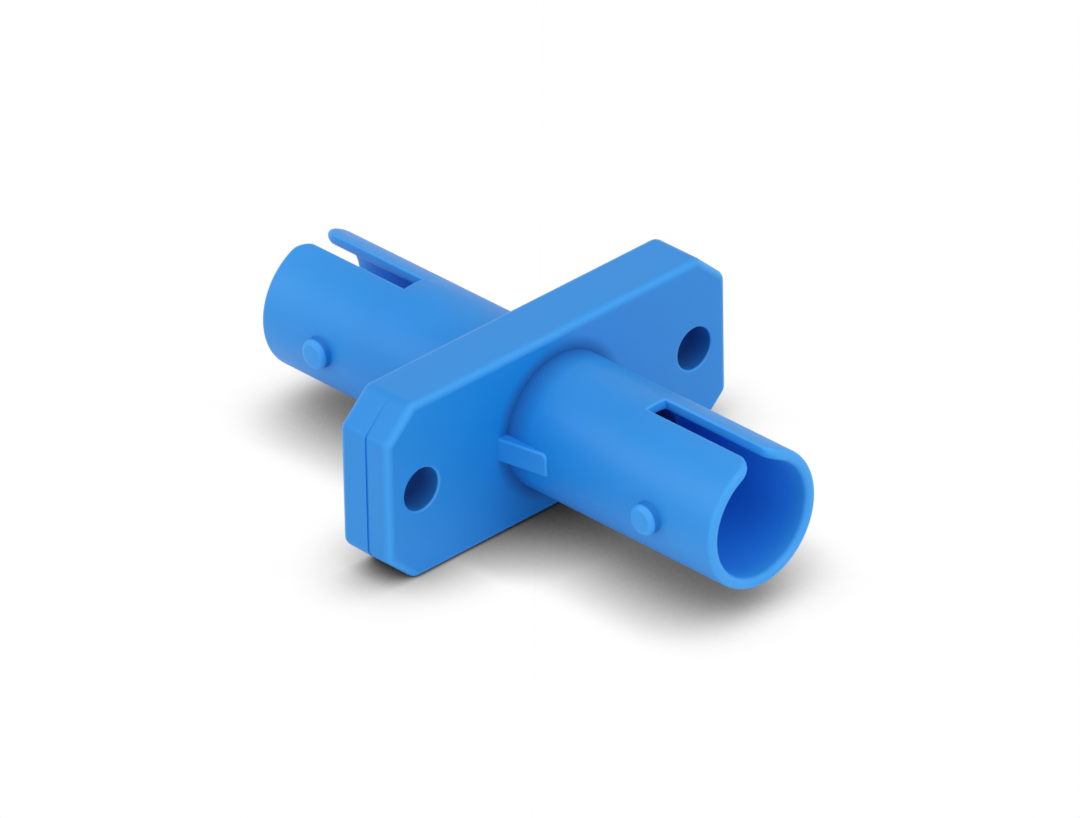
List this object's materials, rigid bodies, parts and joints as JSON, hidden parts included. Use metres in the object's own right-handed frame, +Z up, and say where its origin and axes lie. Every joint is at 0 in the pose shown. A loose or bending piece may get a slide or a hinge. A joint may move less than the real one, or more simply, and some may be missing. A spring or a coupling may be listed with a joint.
{
  "type": "st fibre adapter",
  "caption": "Panel adapter that joins two bayonet fibre plugs end to end: flanged blue plastic body, slotted barrel with side lugs on each face, ceramic split sleeve inside.",
  "frame": {"origin": "on the barrel axis, half way between the flange's two faces and between the two mouths", "axes": "+Y along the barrels towards the rear mouth, X along the flange's long side, +Z up through the keyways"},
  "size_m": [0.0224, 0.0302, 0.0094],
  "materials": {
    "blue_plastic": "satin moulded plastic, blue right through",
    "white_ceramic": "ground white ceramic"
  },
  "bodies": {
    "root": {"front_housing": "blue_plastic", "rear_housing": "blue_plastic", "alignment_sleeve": "white_ceramic"}
  },
  "joints": []
}
